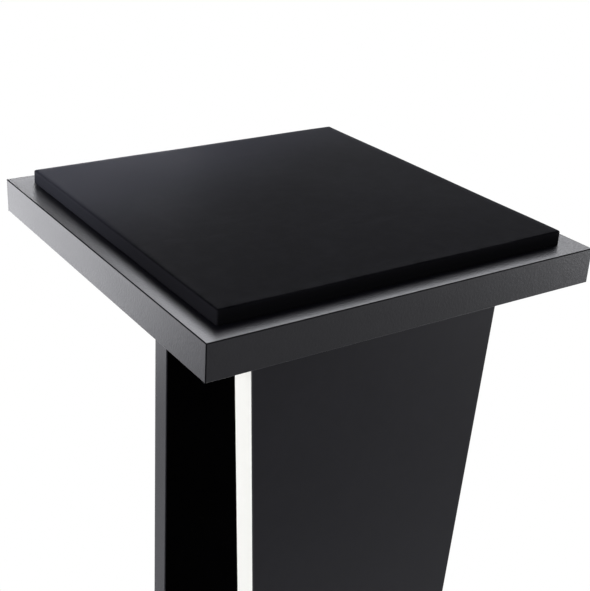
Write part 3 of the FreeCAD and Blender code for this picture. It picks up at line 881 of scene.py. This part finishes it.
def make_hex(foot):
    """Round rows where r = min(flat / cos(angle from the middle of a flat), cone), and the cone widens by
    CONE_SLOPE for each metre in from an end. The bore has a small countersink, and the lower end is held
    just clear of the glide."""
    node = f"foot_nut_{foot}"
    low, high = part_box(node)
    flat = (high.y - low.y) / 2
    bottom = low.z + HEX_CLEARANCE
    hexagon = flat / np.cos(turn_angle % (np.pi / 3) - np.pi / 6)
    cone = np.minimum(hexagon, (CONE_START * flat + CONE_SLOPE * CONE_ROWS)[:, None])
    lower = zip(cone, bottom + CONE_ROWS)
    upper = zip(cone[::-1], high.z - CONE_ROWS[::-1])
    sink = HEX_BORE + HEX_SINK
    profile = [(HEX_BORE, bottom + HEX_SINK), (sink, bottom), *lower, (hexagon, (bottom + high.z) / 2),
               *upper, (sink, high.z), (HEX_BORE, high.z - HEX_SINK)]
    return skin(f"hex_nut_{foot}", turned(node, profile), "zinc_steel", f"stud_{foot}", node, loop=True)


for foot in FEET:
    make_hex(foot)

# %% [markdown]
# The glide is a moulded disc with a hub that the stud turns in. Moulded edges are never sharp, so each corner
# of its profile is eased. Its underside is hollow for the rubber tread and for the head of the stud.

# %% Moulded glides
GLIDE_RIM = 3.2 * MM
GLIDE_HUB = 11.0 * MM
GLIDE_BORE = 4.05 * MM
HEAD_ROOM = 6.55 * MM
HEAD_CEILING = 6.25 * MM
SEAT_CLEARANCE = 0.05 * MM
RIM_EASE = 0.6 * MM
SHOULDER_EASE = 1.2 * MM
BORE_EASE = 0.4 * MM


def make_glide(foot):
    """Rim, cone and hub, with the tread's seat and the room for the stud's head below."""
    node = f"foot_glide_{foot}"
    low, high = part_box(node)
    tread_low, tread_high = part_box(f"foot_tread_{foot}")
    rim = (high.x - low.x) / 2
    seat = (tread_high.x - tread_low.x) / 2 + SEAT_CLEARANCE
    bottom, shoulder, top = (rim, low.z), (rim, low.z + GLIDE_RIM), (GLIDE_HUB, high.z)
    profile = [(seat, low.z), *eased(bottom, (seat, low.z), shoulder, RIM_EASE),
               *eased(shoulder, bottom, top, SHOULDER_EASE),
               *eased(top, shoulder, (0, high.z), SHOULDER_EASE),
               *eased((GLIDE_BORE, high.z), top, (GLIDE_BORE, low.z), BORE_EASE), (GLIDE_BORE, HEAD_CEILING),
               (HEAD_ROOM, HEAD_CEILING), (HEAD_ROOM, tread_high.z), (seat, tread_high.z)]
    return skin(f"glide_disc_{foot}", turned(node, profile), "black_nylon", f"foot_{foot}", node, loop=True)


for foot in FEET:
    make_glide(foot)

# %% [markdown]
# Under each glide is a disc of rubber. Moulded treads have rings that grip the floor, and they are shape here
# too, because the underside is seen when the stand is lifted.

# %% Rubber treads
RING_SPACING = 2.8 * MM
RING_DEPTH = 0.6 * MM
RING_STEEPNESS = 1.6
RING_FADE = 1.0 * MM
TREAD_EASE = 0.6 * MM
TREAD_TOP_EASE = 0.3 * MM
TREAD_CAP = 0.5 * MM
TREAD_ROWS = 80


def make_tread(foot):
    """A disc whose underside has rings: height = RING_DEPTH * a rounded square wave of the radius, which is
    1/2 - RING_STEEPNESS * cos, kept between 0 and 1. It is flat on the floor between them, and fades out
    before the edge."""
    node = f"foot_tread_{foot}"
    low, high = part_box(node)
    edge = (high.x - low.x) / 2
    ringed = edge - 2 * TREAD_EASE
    radii = np.linspace(TREAD_CAP, ringed, TREAD_ROWS)
    rings = np.clip(0.5 - RING_STEEPNESS * np.cos(2 * np.pi * radii / RING_SPACING), 0, 1)
    rings *= np.clip((ringed - radii) / RING_FADE, 0, 1)
    profile = [*zip(radii, low.z + RING_DEPTH * rings),
               *eased((edge, low.z), (0, low.z), (edge, high.z), TREAD_EASE),
               *eased((edge, high.z), (edge, low.z), (0, high.z), TREAD_TOP_EASE), (TREAD_CAP, high.z)]
    return skin(f"rubber_tread_{foot}", turned(node, profile), "tread_rubber", f"foot_{foot}", node)


for foot in FEET:
    make_tread(foot)
